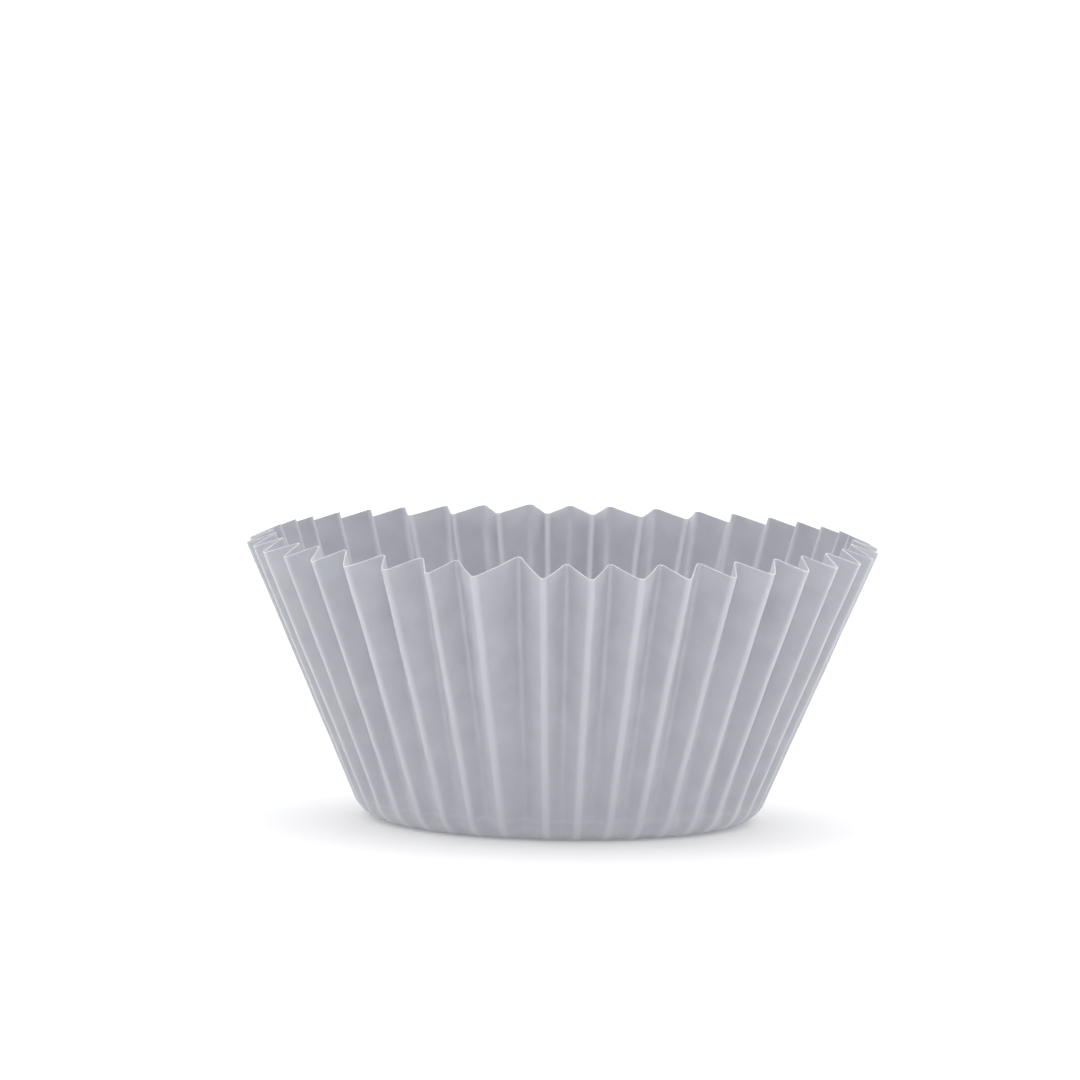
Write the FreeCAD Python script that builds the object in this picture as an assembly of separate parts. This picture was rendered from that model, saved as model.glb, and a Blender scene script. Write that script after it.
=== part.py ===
import FreeCAD, Part
import math
import os

# Cupcake liner: a white greaseproof paper baking cup, standing on its flat base.
# It is pressed from one flat disc of paper. The middle of the disc stays flat and
# is the base, a bend turns the paper up, and the wall leans outwards to the rim.
# The disc has more paper round it than the cup has room for, so the paper gathers
# into pleats that start at the bend and get deeper towards the rim.
#
# Frame: +Z is up and is the cup's axis. The origin is the centre of the base, on
# the surface that the cup stands on. The front of the cup faces -Y.
# Lengths are in millimetres and angles in degrees.

# Paper
blank_diameter = 114.0
paper_thickness = 0.10

# Profile of the outer folds, measured at the middle of the paper's thickness
base_diameter = 40.8
bend_radius = 3.8
wall_flare = 23.6

# Pleats. One of them, at the front, is pressed wider than the others, which are even.
# A pleat is measured from one outer fold, its crest, to the next. The two widths
# are of the bent paper along each fold, from side to side.
pleat_count = 40
wide_pleat_angle = 12.6
wide_pleat_end = -3.7
crest_width = 0.9
valley_width = 1.0

# How finely the bend, the wall and each fold are divided
bend_steps = 3
wall_steps = 3
crest_steps = 2
valley_steps = 2

node_name = "pleated_cup"
FRONT = -90.0
WALL_GRADING = 1.4
SOLVER_STEPS = 40


def crest_azimuths():
    """Azimuths of the outer folds, in radians, once round the cup from the wide pleat's end."""
    first = math.radians(FRONT + wide_pleat_end)
    even_angle = math.radians(360.0 - wide_pleat_angle) / (pleat_count - 1)
    return [first + even_angle * i for i in range(pleat_count)]


def profile_levels():
    """Levels up the profile: (paper reach from the centre, radius, height, turn from level)."""
    base_radius = base_diameter / 2
    wall_turn = math.radians(90.0 - wall_flare)
    middle = paper_thickness / 2
    levels = []
    for i in range(bend_steps + 1):
        turn = wall_turn * i / bend_steps
        reach = base_radius + bend_radius * turn
        radius = base_radius + bend_radius * math.sin(turn)
        height = middle + bend_radius * (1 - math.cos(turn))
        levels.append((reach, radius, height, turn))
    bend_reach, bend_end_radius, bend_end_height, _ = levels[-1]
    wall_length = blank_diameter / 2 - bend_reach
    for i in range(1, wall_steps + 1):
        run = wall_length * (i / wall_steps) ** WALL_GRADING
        radius = bend_end_radius + run * math.cos(wall_turn)
        height = bend_end_height + run * math.sin(wall_turn)
        levels.append((bend_reach + run, radius, height, wall_turn))
    return levels


def fold_run(bent, angle):
    """Length along the pitch of bent paper that turns through this angle."""
    return bent * math.sin(angle) / angle if angle > 0 else bent


def fold_drop(bent, angle):
    """Depth of bent paper that turns through this angle."""
    return bent * (1 - math.cos(angle)) / angle if angle > 0 else 0.0


def flank_angle(path, pitch, bent):
    """Slope of the straight flank of a half fold that takes up this path over this pitch."""
    low, high = 0.0, math.pi / 2
    for _ in range(SOLVER_STEPS):
        angle = (low + high) / 2
        if fold_run(bent, angle) + (path - bent) * math.cos(angle) > pitch:
            low = angle
        else:
            high = angle
    return angle


def half_fold(level, half_angle):
    """Section of the paper from an outer fold to the inner fold beside it.

    Returns points (azimuth step, depth below the outer fold, slope of the paper).
    The paper between the folds is as long as it is in the flat disc."""
    reach, radius, _, turn = level
    path = half_angle * reach
    crest, valley = crest_width / 2, valley_width / 2
    depth = 0.0
    for _ in range(SOLVER_STEPS):
        pitch = half_angle * (radius - depth * math.sin(turn) / 2)
        angle = flank_angle(path, pitch, crest + valley) if pitch < path else 0.0
        depth = fold_drop(crest + valley, angle) + (path - crest - valley) * math.sin(angle)
    points = []
    for i in range(crest_steps + 1):
        slope = angle * i / crest_steps
        along = fold_run(crest * i / crest_steps, slope)
        points.append((along, fold_drop(crest * i / crest_steps, slope), slope))
    for i in range(valley_steps, -1, -1):
        slope = angle * i / valley_steps
        along = pitch - fold_run(valley * i / valley_steps, slope)
        points.append((along, depth - fold_drop(valley * i / valley_steps, slope), slope))
    return [(half_angle * along / pitch, below, slope) for along, below, slope in points]


def section_outline(level, azimuths, side):
    """Closed outline of one face of the paper at a level. Side is 1 outside and -1 inside."""
    _, radius, height, turn = level
    offset = side * paper_thickness / 2
    out_radial, out_up = math.sin(turn), -math.cos(turn)
    points = []
    following = azimuths[1:] + [azimuths[0] + 2 * math.pi]
    for start, end in zip(azimuths, following):
        half = half_fold(level, (end - start) / 2)
        pleat = [(start + step, below, slope) for step, below, slope in half]
        pleat += [(end - step, below, -slope) for step, below, slope in half[-2:0:-1]]
        for azimuth, below, slope in pleat:
            outwards = offset * math.cos(slope) - below
            r = radius + outwards * out_radial
            z = height + outwards * out_up
            a = azimuth + offset * math.sin(slope) / r
            points.append(FreeCAD.Vector(r * math.cos(a), r * math.sin(a), z))
    return points + points[:1]


def flat_face(corners):
    """Flat face inside these corners. The last corner repeats the first."""
    return Part.Face(Part.makePolygon(corners))


def strip(lower, upper):
    """Flat three-cornered faces between two outlines, two for each pair of edges."""
    faces = []
    for a, b, c, d in zip(lower, lower[1:], upper[1:], upper):
        faces.append(flat_face([a, b, c, a]))
        faces.append(flat_face([a, c, d, a]))
    return faces


def skin(outlines):
    """One face of the paper: the base disc and the strips between the outlines."""
    faces = [flat_face(outlines[0])]
    for lower, upper in zip(outlines, outlines[1:]):
        faces += strip(lower, upper)
    return faces


def pleated_cup():
    """The pressed sheet as one solid: outer skin, inner skin and the cut edge at the rim."""
    azimuths = crest_azimuths()
    levels = profile_levels()
    outer = [section_outline(level, azimuths, 1) for level in levels]
    inner = [section_outline(level, azimuths, -1) for level in levels]
    sheet = Part.makeCompound(skin(outer) + skin(inner) + strip(outer[-1], inner[-1]))
    sheet.sewShape()
    cup = Part.Solid(sheet.Shells[0])
    if cup.Volume < 0:
        cup.reverse()
    return cup


def main():
    os.makedirs("parts", exist_ok=True)
    cup = pleated_cup()
    cup.exportStep(os.path.join("parts", node_name + ".step"))
    box = cup.BoundBox
    print(node_name, "valid", cup.isValid(), "faces", len(cup.Faces), "volume", round(cup.Volume, 2))
    print("size", round(box.XLength, 2), round(box.YLength, 2), round(box.ZLength, 2))


main()
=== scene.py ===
import math
import random

import bpy
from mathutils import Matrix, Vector, noise


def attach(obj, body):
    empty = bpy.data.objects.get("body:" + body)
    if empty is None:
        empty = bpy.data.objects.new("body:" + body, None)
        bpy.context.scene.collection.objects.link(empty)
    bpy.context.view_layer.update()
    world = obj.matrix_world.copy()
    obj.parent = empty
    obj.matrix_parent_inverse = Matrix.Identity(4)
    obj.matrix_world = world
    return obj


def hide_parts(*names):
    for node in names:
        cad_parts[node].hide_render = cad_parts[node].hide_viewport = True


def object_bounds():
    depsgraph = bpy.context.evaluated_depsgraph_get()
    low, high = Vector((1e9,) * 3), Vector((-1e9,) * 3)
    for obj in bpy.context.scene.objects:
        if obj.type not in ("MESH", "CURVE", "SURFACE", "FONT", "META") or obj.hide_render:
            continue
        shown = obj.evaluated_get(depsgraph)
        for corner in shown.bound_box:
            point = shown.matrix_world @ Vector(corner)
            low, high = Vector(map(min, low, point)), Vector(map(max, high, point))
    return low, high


bl_info = {
    "name": "Cupcake Liner",
    "version": (1, 0, 0),
    "blender": (4, 5, 0),
    "location": "3D View > Sidebar > Liner",
    "description": "Presses a disc of greaseproof paper into a fluted baking cup",
    "category": "Add Mesh",
}

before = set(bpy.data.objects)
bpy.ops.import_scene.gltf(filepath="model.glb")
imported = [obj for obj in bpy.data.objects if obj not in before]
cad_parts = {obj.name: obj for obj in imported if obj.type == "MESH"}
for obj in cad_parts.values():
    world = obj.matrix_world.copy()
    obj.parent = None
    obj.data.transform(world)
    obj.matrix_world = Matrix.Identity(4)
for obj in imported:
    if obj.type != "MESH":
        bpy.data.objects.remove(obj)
cad_low, cad_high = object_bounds()

NODE = "pleated_cup"
MM = 0.001
FRONT = math.radians(-90)


# Settings

def linear(hex_colour):
    """Linear RGBA of an sRGB hex colour."""
    channels = [int(hex_colour[i:i + 2], 16) / 255 for i in (1, 3, 5)]
    flat = [c / 12.92 if c <= 0.04045 else ((c + 0.055) / 1.055) ** 2.4 for c in channels]
    return (*flat, 1.0)


def length(name, description, millimetres):
    """A length property with its default in millimetres."""
    return bpy.props.FloatProperty(
        name=name, description=description, default=millimetres * MM, min=0.0, unit="LENGTH", precision=5)


def angle(name, description, degrees):
    """An angle property with its default in degrees."""
    return bpy.props.FloatProperty(
        name=name, description=description, default=math.radians(degrees), subtype="ANGLE", unit="ROTATION")


def share(name, description, default):
    """A property from 0 to 1."""
    return bpy.props.FloatProperty(
        name=name, description=description, default=default, min=0.0, max=1.0, subtype="FACTOR")


def strength(name, description, default):
    """The strength of a light."""
    return bpy.props.FloatProperty(name=name, description=description, default=default, min=0.0)


def colour(name, description, hex_colour):
    """A colour property with its default as sRGB hex."""
    return bpy.props.FloatVectorProperty(
        name=name, description=description, default=linear(hex_colour),
        size=4, min=0.0, max=1.0, subtype="COLOR")


class LinerShape(bpy.types.PropertyGroup):
    blank_diameter: length("Blank", "Diameter of the flat paper disc", 114.0)
    paper_thickness: length("Thickness", "Thickness of the paper", 0.10)
    base_diameter: length("Base", "Diameter of the flat part of the base", 40.8)
    bend_radius: length("Bend", "Radius of the bend between base and wall", 3.8)
    wall_flare: angle("Flare", "Lean of the wall, from upright", 23.6)
    pleat_count: bpy.props.IntProperty(name="Pleats", description="Pleats round the cup", default=40, min=3)
    wide_pleat: angle("Wide pleat", "Angle that the one wide pleat takes up", 12.6)
    wide_pleat_end: angle("Wide pleat's end", "Where the wide pleat ends, from the front", -3.7)
    crest_width: length("Crest", "Width of bent paper along an outer fold", 0.9)
    valley_width: length("Valley", "Width of bent paper along an inner fold", 1.0)


class LinerHandling(bpy.types.PropertyGroup):
    seed: bpy.props.IntProperty(name="Seed", description="Number that the unevenness starts from", default=7)
    fold_drift: angle("Fold drift", "How far an outer fold lies from its even place", 0.2)
    valley_lean: share("Valley lean", "Inner fold's distance from the middle, as a share of the pleat", 0.10)
    crest_stray: length("Crest stray", "How far an outer fold stands in or out at the rim", 0.22)
    flank_belly: length("Belly", "How far the paper between two folds bellies at the rim", 0.14)
    wander: length("Wander", "How far a fold strays from a straight line", 0.12)
    ripple: length("Ripple", "Height of the shallow ripples all over the paper", 0.05)
    gather: length("Gather", "Height of the small gathers in the bend", 0.05)
    off_centre: length("Off centre", "How far the disc lay off the middle of the press", 0.35)


class LinerPaper(bpy.types.PropertyGroup):
    sheet: colour("Sheet", "Colour of the paper", "#C0C1C6")
    # Painted highlight: the lighter colour laid along the folds
    painted_highlight: colour("Crease", "Colour of the paper where a fold has whitened it", "#C1C2C7")
    thin_spot: colour("Thin spot", "Colour of the thinner clouds in the sheet", "#ADAEB4")


class LinerStudio(bpy.types.PropertyGroup):
    floor: colour("Floor", "Colour of the floor", "#DEDEDF")
    floor_glow: strength("Floor glow", "Light that comes up through the floor", 0.22)
    overhead: strength("Overhead", "Strength of the overhead light", 0.7)
    lamp: strength("Lamp", "Strength of the light above the front", 0.85)
    surround: strength("Surround", "Brightness of the walls beside the cup and behind it", 1.45)
    front: strength("Front", "Brightness of the room in front", 0.15)
    distance: length("Distance", "Distance of the camera", 2000.0)
    elevation: angle("Elevation", "Camera's angle above the table", 6.4)
    roll: angle("Roll", "How far the camera was held off level", 1.0)


# Profile and folds

BASE_RINGS = 6
BEND_RINGS = 9
WALL_RINGS = 36
BEND_END = BASE_RINGS + BEND_RINGS - 1
AROUND_FOLD = 3
ALONG_FLANK = 3
HALF_POINTS = 2 * AROUND_FOLD + ALONG_FLANK + 1
PLEAT_POINTS = 2 * (HALF_POINTS - 1)
SLOPE_STEPS = 30
DEPTH_STEPS = 6


def profile(shape):
    """Rings of the unfluted cup: (reach from the disc's centre, radius, height, turn from level)."""
    base_radius = shape.base_diameter / 2
    wall_turn = math.pi / 2 - shape.wall_flare
    middle = shape.paper_thickness / 2
    rings = [(r, r, middle, 0.0) for r in (base_radius * (i + 1) / BASE_RINGS for i in range(BASE_RINGS))]
    for i in range(1, BEND_RINGS + 1):
        turn = wall_turn * i / BEND_RINGS
        radius = base_radius + shape.bend_radius * math.sin(turn)
        height = middle + shape.bend_radius * (1 - math.cos(turn))
        rings.append((base_radius + shape.bend_radius * turn, radius, height, turn))
    bend_reach, bend_radius, bend_height, _ = rings[BEND_END]
    wall = shape.blank_diameter / 2 - bend_reach
    for i in range(1, WALL_RINGS + 1):
        run = wall * i / WALL_RINGS
        radius = bend_radius + run * math.cos(wall_turn)
        height = bend_height + run * math.sin(wall_turn)
        rings.append((bend_reach + run, radius, height, wall_turn))
    return rings


def fold_run(bent, slope):
    """Length along the pitch of bent paper that turns through this slope."""
    return bent * math.sin(slope) / slope if slope > 0 else bent


def fold_drop(bent, slope):
    """Depth of bent paper that turns through this slope."""
    return bent * (1 - math.cos(slope)) / slope if slope > 0 else 0.0


def flank_slope(path, pitch, bent):
    """Slope of the flat flank of a half fold that takes up this path over this pitch."""
    low, high = 0.0, math.pi / 2
    for _ in range(SLOPE_STEPS):
        slope = (low + high) / 2
        if fold_run(bent, slope) + (path - bent) * math.cos(slope) > pitch:
            low = slope
        else:
            high = slope
    return slope


def half_fold(shape, ring, half_angle):
    """Paper from an outer fold to the inner fold beside it.

    Gives points (share of the pitch, depth, length of paper from the outer fold) and the depth."""
    reach, radius, _, turn = ring
    path = half_angle * reach
    crest, valley = shape.crest_width / 2, shape.valley_width / 2
    if crest + valley > path:
        crest, valley = (path * w / (crest + valley) for w in (crest, valley))
    depth = 0.0
    for _ in range(DEPTH_STEPS):
        pitch = half_angle * (radius - depth * math.sin(turn) / 2)
        slope = flank_slope(path, pitch, crest + valley) if pitch < path else 0.0
        depth = fold_drop(crest + valley, slope) + (path - crest - valley) * math.sin(slope)
    points = []
    for i in range(AROUND_FOLD + 1):
        part = i / AROUND_FOLD
        run, drop = fold_run(crest * part, slope * part), fold_drop(crest * part, slope * part)
        points.append((run / pitch, drop, crest * part))
    for i in range(AROUND_FOLD + 1):
        part = 1 - i / AROUND_FOLD
        run, drop = fold_run(valley * part, slope * part), fold_drop(valley * part, slope * part)
        points.append((1 - run / pitch, depth - drop, path - valley * part))
    near, far = (Vector(p) for p in points[AROUND_FOLD:AROUND_FOLD + 2])
    flank = [tuple(near.lerp(far, i / ALONG_FLANK)) for i in range(1, ALONG_FLANK)]
    return points[:AROUND_FOLD + 1] + flank + points[AROUND_FOLD + 1:], depth


# The pleats, as unevenly as hand and press leave them

class Pleat:
    """One pleat's place round the cup, and how unevenly it was pressed."""

    def __init__(self, start, end, chance, handling):
        self.start = start
        self.end = end
        self.lean = chance.uniform(-1, 1) * handling.valley_lean
        self.stray = chance.uniform(-1, 1) * handling.crest_stray
        self.bellies = [chance.uniform(-1, 1) * handling.flank_belly for _ in range(2)]


def pleats_round(shape, handling):
    """The pleats in order round the cup, from the end of the wide one."""
    chance = random.Random(handling.seed)
    first = FRONT + shape.wide_pleat_end
    even = (2 * math.pi - shape.wide_pleat) / (shape.pleat_count - 1)
    starts = [first + even * i + chance.uniform(-1, 1) * handling.fold_drift
              for i in range(shape.pleat_count)]
    ends = starts[1:] + [starts[0] + 2 * math.pi]
    return [Pleat(start, end, chance, handling) for start, end in zip(starts, ends)]


def fluted_ring(shape, ring, pleats, rise):
    """Places round one ring of the fluted cup. Rise goes from 0 at the base to 1 at the rim.

    Each is (azimuth, depth below the outer folds, paper from the outer fold, paper from the inner fold)."""
    places = []
    strays = [p.stray * rise for p in pleats]
    for pleat, stray, next_stray in zip(pleats, strays, strays[1:] + strays[:1]):
        span = pleat.end - pleat.start
        half, depth = half_fold(shape, ring, span / 2)
        for i in range(PLEAT_POINTS):
            second = i >= HALF_POINTS - 1
            share_of_pitch, below, from_crest = half[PLEAT_POINTS - i] if second else half[i]
            q = 1 - share_of_pitch / 2 if second else share_of_pitch / 2
            sunk = below / depth if depth > 0 else 0.0
            belly = math.sin(math.pi * share_of_pitch) * pleat.bellies[second] * rise
            azimuth = pleat.start + span * (q + pleat.lean * sunk * rise)
            below -= belly + stray * (1 - q) + next_stray * q
            places.append((azimuth, below, from_crest, half[-1][2] - from_crest))
    return places


# The base is flat, so its paper lies far from any fold
NO_FOLD = 10 * MM


def flat_ring(pleats):
    """Places round one ring of the base, in the same form as a fluted ring's."""
    return [(p.start + (p.end - p.start) * i / PLEAT_POINTS, 0.0, NO_FOLD, NO_FOLD)
            for p in pleats for i in range(PLEAT_POINTS)]


# Sizes of the unevenness. Noise that is read FOLDS_APART from its middle differs from
# one fold to the next, and the gathers' noise lies on a layer of its own
FOLDS_APART = 8.0
WANDER_LENGTH = 8 * MM
RIPPLE_AROUND = 5 * MM
RIPPLE_UP = 9 * MM
RIPPLE_GROWTH = 4.0
GATHER_SIZE = 1.1 * MM
GATHER_LAYER = 7.0
GATHER_FADE = 9.0


def heading(azimuth):
    """Unit vector from the cup's axis at this azimuth."""
    return Vector((math.cos(azimuth), math.sin(azimuth), 0))


def pressed_place(handling, ring, rise, azimuth, below):
    """Where a point of the sheet ends up, at this azimuth and depth below the outer folds."""
    reach, radius, height, turn = ring
    longer = handling.off_centre * math.cos(azimuth - FRONT) * rise
    along = Vector((0, 0, reach / WANDER_LENGTH))
    stray = noise.noise(heading(azimuth) * FOLDS_APART + along) * handling.wander * rise
    way = heading(azimuth + stray / radius)
    rough = noise.noise(way * reach / RIPPLE_AROUND + Vector((0, 0, height / RIPPLE_UP)))
    fine = noise.noise(way * (reach / GATHER_SIZE) + Vector((0, 0, GATHER_LAYER)))
    in_bend = math.sin(turn) * math.exp(-((rise * GATHER_FADE) ** 2))
    below += rough * handling.ripple * min(1.0, RIPPLE_GROWTH * rise) + fine * handling.gather * in_bend
    r = radius - below * math.sin(turn) + longer * math.cos(turn)
    z = height + below * math.cos(turn) + longer * math.sin(turn)
    return way.x * r, way.y * r, z


# The cup

def deselect_all():
    """Leaves edit mode and selects nothing."""
    if bpy.context.mode != "OBJECT":
        bpy.ops.object.mode_set(mode="OBJECT")
    bpy.ops.object.select_all(action="DESELECT")


def plain_cup(rings, around):
    """The cup without pleats: a disc whose edge is extruded outwards and up, ring by ring."""
    deselect_all()
    _, radius, height, _ = rings[0]
    bpy.ops.mesh.primitive_circle_add(
        vertices=around, radius=radius, fill_type="NGON", location=(0, 0, height))
    cup = bpy.context.object
    bpy.ops.object.transform_apply(location=True, rotation=True, scale=True)
    bpy.ops.object.mode_set(mode="EDIT")
    bpy.ops.mesh.select_mode(type="EDGE")
    bpy.ops.mesh.select_all(action="SELECT")
    bpy.ops.mesh.region_to_loop()
    for (_, r0, z0, _), (_, r1, z1, _) in zip(rings, rings[1:]):
        bpy.ops.mesh.extrude_region_move(TRANSFORM_OT_translate={"value": (0, 0, z1 - z0)})
        bpy.ops.transform.resize(value=(r1 / r0, r1 / r0, 1), center_override=(0, 0, z1))
    bpy.ops.object.mode_set(mode="OBJECT")
    if len(cup.data.vertices) != len(rings) * around:
        raise RuntimeError("the edge of the disc wasn't extruded into whole rings")
    return cup


def ring_numbers(mesh, rings):
    """For each vertex of the plain cup, its ring's number."""
    found = {}
    numbers = []
    for vertex in mesh.vertices:
        x, y, z = vertex.co
        key = (round(math.hypot(x, y) / MM, 2), round(z / MM, 2))
        if key not in found:
            gaps = [abs(r / MM - key[0]) + abs(h / MM - key[1]) for _, r, h, _ in rings]
            found[key] = gaps.index(min(gaps))
        numbers.append(found[key])
    return numbers


# Blender's own circle has its first vertex on +Y
CIRCLE_START = math.radians(90)


def flute(cup, shape, handling, rings, around):
    """Gathers the plain cup into pleats. Paper doesn't stretch, so each ring keeps the
    length that it has in the flat disc, which no operator does: the vertices are moved here."""
    pleats = pleats_round(shape, handling)
    base_reach = shape.base_diameter / 2
    rim_reach = shape.blank_diameter / 2
    rises = [max(0.0, (reach - base_reach) / (rim_reach - base_reach)) for reach, *_ in rings]
    pressed = [fluted_ring(shape, ring, pleats, rise) if rise > 0 else flat_ring(pleats)
               for ring, rise in zip(rings, rises)]
    outer_fold = cup.data.attributes.new("from_outer_fold", "FLOAT", "POINT")
    inner_fold = cup.data.attributes.new("from_inner_fold", "FLOAT", "POINT")
    flat = cup.data.attributes.new("flat_place", "FLOAT_VECTOR", "POINT")
    for vertex, number in zip(cup.data.vertices, ring_numbers(cup.data, rings)):
        x, y, _ = vertex.co
        step = round((math.atan2(y, x) - CIRCLE_START) / (2 * math.pi) * around) % around
        azimuth, below, from_outer, from_inner = pressed[number][step]
        flat.data[vertex.index].vector = heading(azimuth) * rings[number][0]
        outer_fold.data[vertex.index].value = from_outer
        inner_fold.data[vertex.index].value = from_inner
        vertex.co = pressed_place(handling, rings[number], rises[number], azimuth, below)


# Edges that turn by less than this are shaded round
ROUND_BELOW = math.radians(50)


def give_thickness(cup, shape):
    """The paper's thickness, half on each side of the sheet that was fluted."""
    solidify = cup.modifiers.new("thickness", "SOLIDIFY")
    solidify.thickness = shape.paper_thickness
    solidify.offset = 0.0
    deselect_all()
    cup.select_set(True)
    bpy.context.view_layer.objects.active = cup
    bpy.ops.object.modifier_apply(modifier="thickness")
    bpy.ops.object.shade_smooth_by_angle(angle=ROUND_BELOW)


class LINER_OT_press_cup(bpy.types.Operator):
    """Press a disc of greaseproof paper into a fluted cup"""
    bl_idname = "liner.press_cup"
    bl_label = "Pleated cup"

    def execute(self, context):
        shape = context.scene.liner_shape
        rings = profile(shape)
        around = shape.pleat_count * PLEAT_POINTS
        cup = plain_cup(rings, around)
        cup.name = cup.data.name = "paper_cup"
        flute(cup, shape, context.scene.liner_handling, rings, around)
        give_thickness(cup, shape)
        cup.data.materials.clear()
        cup.data.materials.append(greaseproof_paper(context.scene.liner_paper, rings[BEND_END][0]))
        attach(cup, "root")
        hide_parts(NODE)
        return {"FINISHED"}


# Nodes

def add_node(tree, kind, values=None, links=None):
    """Adds a node, sets its properties and input values, and links its inputs."""
    node = tree.nodes.new(kind)
    for name, value in (values or {}).items():
        if name in node.inputs:
            node.inputs[name].default_value = value
        else:
            setattr(node, name, value)
    for name, output in (links or {}).items():
        tree.links.new(output, node.inputs[name])
    return node


def feed(tree, sockets, sources):
    """Gives each socket its source: another node's output, or a value."""
    for socket, source in zip(sockets, sources):
        if isinstance(source, bpy.types.NodeSocket):
            tree.links.new(source, socket)
        else:
            socket.default_value = source


def maths(tree, operation, *sources):
    """Result of a Math node."""
    node = add_node(tree, "ShaderNodeMath", {"operation": operation})
    feed(tree, node.inputs, sources)
    return node.outputs["Value"]


# The sockets of a Mix node that mixes colours. Its other sockets have the same names
MIX_COLOURS = slice(6, 8)
MIXED_COLOUR = 2


def mixed(tree, part, first, second):
    """Colour that goes from the first to the second as the part goes from 0 to 1."""
    node = add_node(tree, "ShaderNodeMix", {"data_type": "RGBA"}, {"Factor": part})
    feed(tree, node.inputs[MIX_COLOURS], (first, second))
    return node.outputs[MIXED_COLOUR]


def fading(tree, distance, start, end, most):
    """Number that falls smoothly from its most at the start to 0 at the end."""
    node = add_node(tree, "ShaderNodeMapRange",
                    {"interpolation_type": "SMOOTHSTEP", "From Min": start, "From Max": end,
                     "To Min": most, "To Max": 0.0}, {"Value": distance})
    return node.outputs["Result"]


def new_material(name):
    """An empty node material: the material, its tree and its surface input."""
    material = bpy.data.materials.new(name)
    material.use_nodes = True
    material.node_tree.nodes.clear()
    output = material.node_tree.nodes.new("ShaderNodeOutputMaterial")
    return material, material.node_tree, output.inputs["Surface"]


# Materials

# A painted highlight on each side of an outer fold, and only a faint one along an inner fold
OUTER_FOLD_HIGHLIGHT = (0.15 * MM, 0.7 * MM, 1.0)
INNER_FOLD_HIGHLIGHT = (0.0, 0.5 * MM, 0.15)
# Width and strength of the painted highlight along the line where the wall leaves the bend
PRESS_LINE_HALF_WIDTH = 0.25 * MM
PRESS_LINE_HIGHLIGHT = 0.4
CLOUD_SIZE = 3 * MM
FIBRE_SIZE = 0.3 * MM


def greaseproof_paper(paper, bend_end):
    """Greaseproof paper, beaten fine and pressed hard: matt with a faint gloss, slightly cloudy
    where the sheet is thinner, and lighter along each fold, which is a painted highlight."""
    material, tree, surface = new_material("greaseproof_paper")
    flat = add_node(tree, "ShaderNodeAttribute", {"attribute_name": "flat_place"})
    outer = add_node(tree, "ShaderNodeAttribute", {"attribute_name": "from_outer_fold"})
    inner = add_node(tree, "ShaderNodeAttribute", {"attribute_name": "from_inner_fold"})
    # Painted highlight mask: full near the outer folds, faint near the inner ones
    folds = maths(tree, "MAXIMUM",
                  fading(tree, outer.outputs["Fac"], *OUTER_FOLD_HIGHLIGHT),
                  fading(tree, inner.outputs["Fac"], *INNER_FOLD_HIGHLIGHT))
    # The press creases the paper where the wall leaves the bend, and a faint painted highlight is laid along
    # that line
    reach = add_node(tree, "ShaderNodeVectorMath", {"operation": "LENGTH"})
    tree.links.new(flat.outputs["Vector"], reach.inputs[0])
    press_line = maths(tree, "COMPARE", reach.outputs["Value"], bend_end, PRESS_LINE_HALF_WIDTH)
    # Painted highlight along the folds and along the line where the wall leaves the bend
    painted_highlight = maths(tree, "MAXIMUM", folds, maths(tree, "MULTIPLY", press_line, PRESS_LINE_HIGHLIGHT))
    clouds = add_node(tree, "ShaderNodeTexNoise", {"Scale": 1 / CLOUD_SIZE, "Detail": 3.0},
                      {"Vector": flat.outputs["Vector"]})
    fibres = add_node(tree, "ShaderNodeTexNoise", {"Scale": 1 / FIBRE_SIZE, "Detail": 2.0},
                      {"Vector": flat.outputs["Vector"]})
    cloudy = mixed(tree, clouds.outputs["Fac"], paper.sheet, paper.thin_spot)
    # The paper's colour with the painted highlight mixed in
    highlighted_paper = mixed(tree, painted_highlight, cloudy, paper.painted_highlight)
    crumple = add_node(tree, "ShaderNodeBump", {"Strength": 0.5, "Distance": 0.15 * MM},
                       {"Height": clouds.outputs["Fac"]})
    grain = add_node(tree, "ShaderNodeBump", {"Strength": 0.4, "Distance": 0.04 * MM},
                     {"Height": fibres.outputs["Fac"], "Normal": crumple.outputs["Normal"]})
    # Light passes from one side of so thin a sheet to the other
    body = add_node(tree, "ShaderNodeBsdfPrincipled",
                    {"Roughness": 0.6, "IOR": 1.45, "Specular IOR Level": 0.4,
                     "Subsurface Weight": 1.0, "Subsurface Scale": 0.3 * MM,
                     "Subsurface Radius": (1.0, 1.0, 1.0)},
                    {"Base Color": highlighted_paper, "Normal": grain.outputs["Normal"]})
    tree.links.new(body.outputs["BSDF"], surface)
    return material


def opal_acrylic(studio):
    """Opal acrylic of a light table: matt and pale, and faintly lit from below, so that shadows stay soft."""
    material, tree, surface = new_material("opal_acrylic")
    body = add_node(tree, "ShaderNodeBsdfPrincipled",
                    {"Base Color": studio.floor, "Roughness": 0.9, "Specular IOR Level": 0.1,
                     "Emission Color": (1, 1, 1, 1), "Emission Strength": studio.floor_glow})
    tree.links.new(body.outputs["BSDF"], surface)
    return material


# The stage

FLOOR_SIZE = 12.0


def lay_floor(studio):
    """A floor that fills the picture."""
    bpy.ops.mesh.primitive_plane_add(size=FLOOR_SIZE, location=(0, 0, 0))
    floor = bpy.context.object
    floor.name = floor.data.name = "floor"
    floor.data.materials.append(opal_acrylic(studio))


def aim(thing, target):
    """Turns a light or the camera towards a point."""
    thing.rotation_euler = (Vector(target) - thing.location).to_track_quat("-Z", "Y").to_euler()


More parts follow.
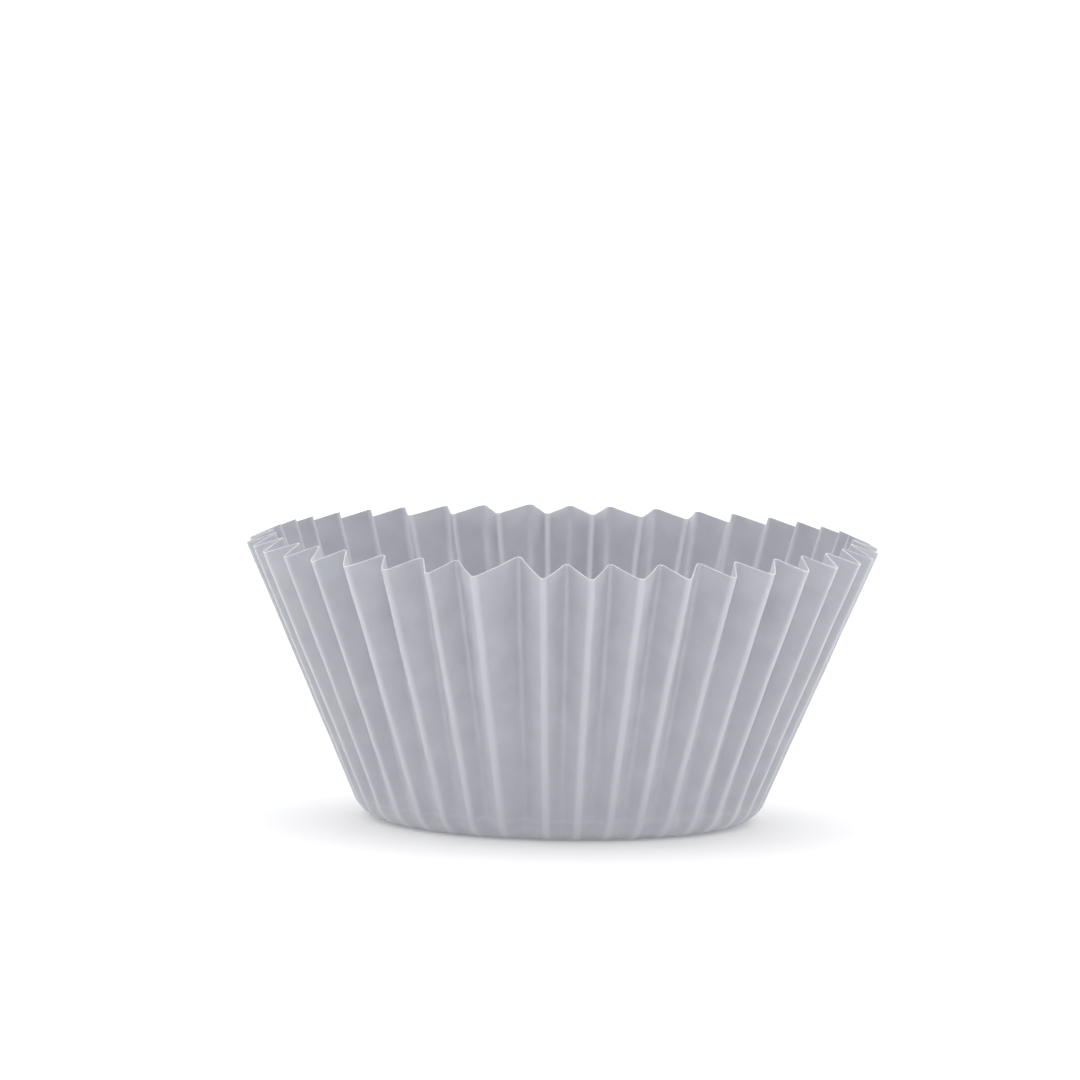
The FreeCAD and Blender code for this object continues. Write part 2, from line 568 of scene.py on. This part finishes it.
def soft_sun(name, from_azimuth, elevation, spread, energy):
    """Even soft light over the whole floor. Angles are in degrees, and azimuth 0 is behind the cup."""
    bpy.ops.object.light_add(type="SUN")
    light = bpy.context.object
    light.name = name
    light.data.angle = math.radians(spread)
    light.data.energy = energy
    a, e = math.radians(from_azimuth), math.radians(elevation)
    light.location = (-math.sin(a) * math.cos(e), math.cos(a) * math.cos(e), math.sin(e))
    aim(light, (0, 0, 0))


# How far behind the cup a direction leads, as a share, where the room starts to
# brighten and where it is brightest
DIM_UNTIL = -0.6
BRIGHT_FROM = 0.1


def white_room(studio):
    """Bright white walls behind the cup and beside it, and a dimmer room in front of it."""
    world = bpy.data.worlds.new("room")
    world.use_nodes = True
    tree = world.node_tree
    way = add_node(tree, "ShaderNodeTexCoord")
    axes = add_node(tree, "ShaderNodeSeparateXYZ", links={"Vector": way.outputs["Generated"]})
    brightness = add_node(tree, "ShaderNodeMapRange",
                          {"interpolation_type": "SMOOTHSTEP", "From Min": DIM_UNTIL, "From Max": BRIGHT_FROM,
                           "To Min": studio.front, "To Max": studio.surround}, {"Value": axes.outputs["Y"]})
    room = tree.nodes["Background"]
    room.inputs["Color"].default_value = (1, 1, 1, 1)
    tree.links.new(brightness.outputs["Result"], room.inputs["Strength"])
    return world


# The photograph is 1080 pixels wide, and the rim, 632 pixels across, is centred
# 24 pixels right of its middle and 5 below. The rim's middle lies a little below
# the highest fold, because the rim is a zigzag
PHOTO_WIDTH = 1080
RIM_WIDTH = 632
RIM_RIGHT = 24.0
RIM_BELOW = 5.0
RIM_MIDDLE = 1.9 * MM
SENSOR = 36.0
NEAREST = 0.05
FARTHEST = 20.0


def place_camera(scene, studio):
    """A camera that sees the cup as the photograph does."""
    per_pixel = (cad_high.x - cad_low.x) / RIM_WIDTH
    rim_height = cad_high.z - RIM_MIDDLE
    target = Vector((-RIM_RIGHT * per_pixel, 0, rim_height + RIM_BELOW * per_pixel))
    back = Vector((0, -math.cos(studio.elevation), math.sin(studio.elevation)))
    bpy.ops.object.camera_add(location=target + back * studio.distance)
    camera = bpy.context.object
    camera.data.sensor_width = SENSOR
    camera.data.lens = SENSOR * studio.distance / (per_pixel * PHOTO_WIDTH)
    camera.data.clip_start, camera.data.clip_end = NEAREST, FARTHEST
    aim(camera, target)
    camera.rotation_euler.rotate_axis("Z", studio.roll)
    scene.camera = camera


class LINER_OT_set_stage(bpy.types.Operator):
    """Lay the floor, hang the lights and place the camera"""
    bl_idname = "liner.set_stage"
    bl_label = "Floor, lights and camera"

    def execute(self, context):
        studio = context.scene.liner_studio
        deselect_all()
        lay_floor(studio)
        soft_sun("overhead", from_azimuth=0, elevation=75, spread=100, energy=studio.overhead)
        soft_sun("lamp", from_azimuth=180, elevation=60, spread=50, energy=studio.lamp)
        context.scene.world = white_room(studio)
        context.scene.view_settings.view_transform = "Standard"
        place_camera(context.scene, studio)
        return {"FINISHED"}


# The add-on

GROUPS = (
    ("liner_shape", LinerShape),
    ("liner_handling", LinerHandling),
    ("liner_paper", LinerPaper),
    ("liner_studio", LinerStudio),
)
STEPS = (LINER_OT_press_cup, LINER_OT_set_stage)


class LINER_PT_panel(bpy.types.Panel):
    """The liner's sizes, colours and steps"""
    bl_label = "Cupcake liner"
    bl_idname = "LINER_PT_panel"
    bl_space_type = "VIEW_3D"
    bl_region_type = "UI"
    bl_category = "Liner"

    def draw(self, context):
        for name, group in GROUPS:
            box = self.layout.box()
            for setting in group.__annotations__:
                box.prop(getattr(context.scene, name), setting)
        for step in STEPS:
            self.layout.operator(step.bl_idname)


def register():
    for name, group in GROUPS:
        bpy.utils.register_class(group)
        setattr(bpy.types.Scene, name, bpy.props.PointerProperty(type=group))
    for step in STEPS:
        bpy.utils.register_class(step)
    bpy.utils.register_class(LINER_PT_panel)


def unregister():
    bpy.utils.unregister_class(LINER_PT_panel)
    for step in reversed(STEPS):
        bpy.utils.unregister_class(step)
    for name, group in reversed(GROUPS):
        delattr(bpy.types.Scene, name)
        bpy.utils.unregister_class(group)


def main():
    register()
    bpy.ops.liner.press_cup()
    bpy.ops.liner.set_stage()


if __name__ == "__main__":
    main()
